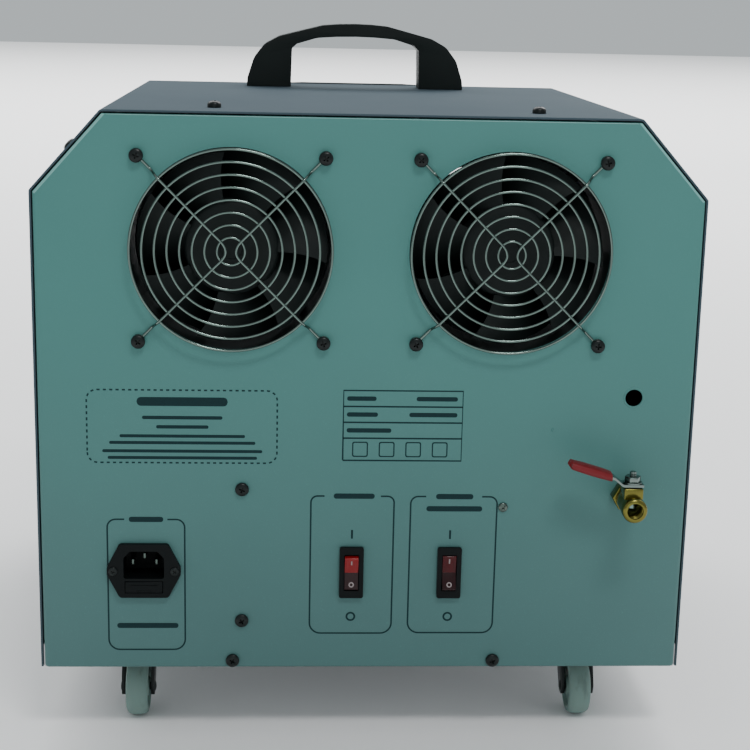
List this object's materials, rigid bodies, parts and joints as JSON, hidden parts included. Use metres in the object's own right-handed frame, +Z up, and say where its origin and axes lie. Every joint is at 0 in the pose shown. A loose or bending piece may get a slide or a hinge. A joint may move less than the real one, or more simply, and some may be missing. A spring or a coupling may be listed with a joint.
{
  "type": "bubble machine",
  "caption": "Stage bubble machine: six-sided sheet-steel case with twin fans behind wire guards, bubble wheels over a fluid tank, drain valve, switches, carry handle and castors.",
  "frame": {"origin": "middle of the whole machine, on the floor under the castors", "axes": "+Z up; the connection panel with fans, inlet, switches and valve faces +Y; bubbles leave towards -Y; the power inlet is on the +X side"},
  "size_m": [0.383, 0.434, 0.4198],
  "materials": {
    "panel_paint": "fine texture semi-matt powder coat",
    "cover_paint": "fine texture semi-matt powder coat",
    "zinc_sheet": "zinc plated sheet",
    "chrome_wire": "bright chromed wire",
    "black_plastic": "moulded, fine grain",
    "black_steel": "black oxide",
    "plated_steel": "nickel plated",
    "wand_plastic": "moulded",
    "milky_plastic": "translucent white polyethylene",
    "clear_hose": "flexible PVC",
    "brass": "turned and lightly tumbled",
    "red_vinyl": "dipped vinyl",
    "red_lens": "translucent red moulding",
    "pale_nylon": "moulded, lightly scuffed"
  },
  "bodies": {
    "machine": {"rear_panel": "panel_paint", "front_panel": "panel_paint", "cover": "cover_paint", "base_tray": "zinc_sheet", "bulkhead": "zinc_sheet", "castor_plate_rear_right": "zinc_sheet", "castor_plate_rear_left": "zinc_sheet", "castor_plate_front_right": "zinc_sheet", "castor_plate_front_left": "zinc_sheet", "handle": "black_plastic", "fan_frame_right": "black_plastic", "fan_frame_left": "black_plastic", "switch_housing_manual": "black_plastic", "switch_housing_remote": "black_plastic", "power_inlet": "black_plastic", "control_box": "black_plastic", "box_screw_1": "black_steel", "box_screw_2": "black_steel", "tray_screw_left": "black_steel", "tray_screw_right": "black_steel", "guard_screw_1": "black_steel", "guard_screw_2": "black_steel", "guard_screw_3": "black_steel", "guard_screw_4": "black_steel", "guard_screw_5": "black_steel", "guard_screw_6": "black_steel", "guard_screw_7": "black_steel", "guard_screw_8": "black_steel", "finger_guard_left": "chrome_wire", "finger_guard_right": "chrome_wire", "gear_motor_left": "plated_steel", "gear_motor_right": "plated_steel", "pin_earth": "plated_steel", "pin_line": "plated_steel", "pin_neutral": "plated_steel", "fluid_tank": "milky_plastic", "drain_hose": "clear_hose", "valve_body": "brass", "valve_lock_nut": "brass"},
    "fan_rotor_right": {"impeller_right": "black_plastic"},
    "bubble_drive_right": {"bubble_wheel_right": "wand_plastic", "wheel_shaft_right": "plated_steel"},
    "fan_rotor_left": {"impeller_left": "black_plastic"},
    "bubble_drive_left": {"bubble_wheel_left": "wand_plastic", "wheel_shaft_left": "plated_steel"},
    "valve_handle": {"valve_lever": "plated_steel", "lever_sleeve": "red_vinyl", "valve_stem": "plated_steel", "valve_ball": "plated_steel"},
    "rocker_manual_body": {"rocker_manual": "red_lens"},
    "rocker_remote_body": {"rocker_remote": "red_lens"},
    "fuse_drawer_body": {"fuse_drawer": "black_plastic"},
    "castor_rear_right": {"castor_fork_rear_right": "black_steel"},
    "castor_roller_rear_right": {"castor_wheel_rear_right": "pale_nylon"},
    "castor_rear_left": {"castor_fork_rear_left": "black_steel"},
    "castor_roller_rear_left": {"castor_wheel_rear_left": "pale_nylon"},
    "castor_front_right": {"castor_fork_front_right": "black_steel"},
    "castor_roller_front_right": {"castor_wheel_front_right": "pale_nylon"},
    "castor_front_left": {"castor_fork_front_left": "black_steel"},
    "castor_roller_front_left": {"castor_wheel_front_left": "pale_nylon"}
  },
  "joints": [
    {"name": "fan_spin_right", "type": "hinge", "parent": "machine", "child": "fan_rotor_right", "pos_m": [0.079, 0.1645, 0.298], "axis": [0, 1, 0], "continuous": true},
    {"name": "bubble_wheel_spin_right", "type": "hinge", "parent": "machine", "child": "bubble_drive_right", "pos_m": [0.079, -0.092, 0.24], "axis": [0, 1, 0], "continuous": true},
    {"name": "fan_spin_left", "type": "hinge", "parent": "machine", "child": "fan_rotor_left", "pos_m": [-0.079, 0.1645, 0.298], "axis": [0, 1, 0], "continuous": true},
    {"name": "bubble_wheel_spin_left", "type": "hinge", "parent": "machine", "child": "bubble_drive_left", "pos_m": [-0.079, -0.092, 0.24], "axis": [0, 1, 0], "continuous": true},
    {"name": "valve_turn", "type": "hinge", "parent": "machine", "child": "valve_handle", "pos_m": [-0.152, 0.205, 0.156], "axis": [0, 0, 1], "range_deg": [0, 90]},
    {"name": "switch_manual", "type": "hinge", "parent": "machine", "child": "rocker_manual_body", "pos_m": [0.008, 0.1833, 0.107], "axis": [1, 0, 0], "range_deg": [0, 14]},
    {"name": "switch_remote", "type": "hinge", "parent": "machine", "child": "rocker_remote_body", "pos_m": [-0.05, 0.1833, 0.107], "axis": [1, 0, 0], "range_deg": [-14, 0]},
    {"name": "fuse_drawer_slide", "type": "slide", "parent": "machine", "child": "fuse_drawer_body", "axis": [0, 1, 0], "range_m": [0, 0.018]},
    {"name": "castor_swivel_rear_right", "type": "hinge", "parent": "machine", "child": "castor_rear_right", "pos_m": [0.1375, 0.133, 0.04], "axis": [0, 0, 1], "continuous": true},
    {"name": "castor_roll_rear_right", "type": "hinge", "parent": "castor_rear_right", "child": "castor_roller_rear_right", "pos_m": [0.1375, 0.145, 0.0175], "axis": [1, 0, 0], "continuous": true},
    {"name": "castor_swivel_rear_left", "type": "hinge", "parent": "machine", "child": "castor_rear_left", "pos_m": [-0.1375, 0.133, 0.04], "axis": [0, 0, 1], "continuous": true},
    {"name": "castor_roll_rear_left", "type": "hinge", "parent": "castor_rear_left", "child": "castor_roller_rear_left", "pos_m": [-0.1375, 0.145, 0.0175], "axis": [1, 0, 0], "continuous": true},
    {"name": "castor_swivel_front_right", "type": "hinge", "parent": "machine", "child": "castor_front_right", "pos_m": [0.1375, -0.167, 0.04], "axis": [0, 0, 1], "continuous": true},
    {"name": "castor_roll_front_right", "type": "hinge", "parent": "castor_front_right", "child": "castor_roller_front_right", "pos_m": [0.1375, -0.155, 0.0175], "axis": [1, 0, 0], "continuous": true},
    {"name": "castor_swivel_front_left", "type": "hinge", "parent": "machine", "child": "castor_front_left", "pos_m": [-0.1375, -0.167, 0.04], "axis": [0, 0, 1], "continuous": true},
    {"name": "castor_roll_front_left", "type": "hinge", "parent": "castor_front_left", "child": "castor_roller_front_left", "pos_m": [-0.1375, -0.155, 0.0175], "axis": [1, 0, 0], "continuous": true}
  ]
}
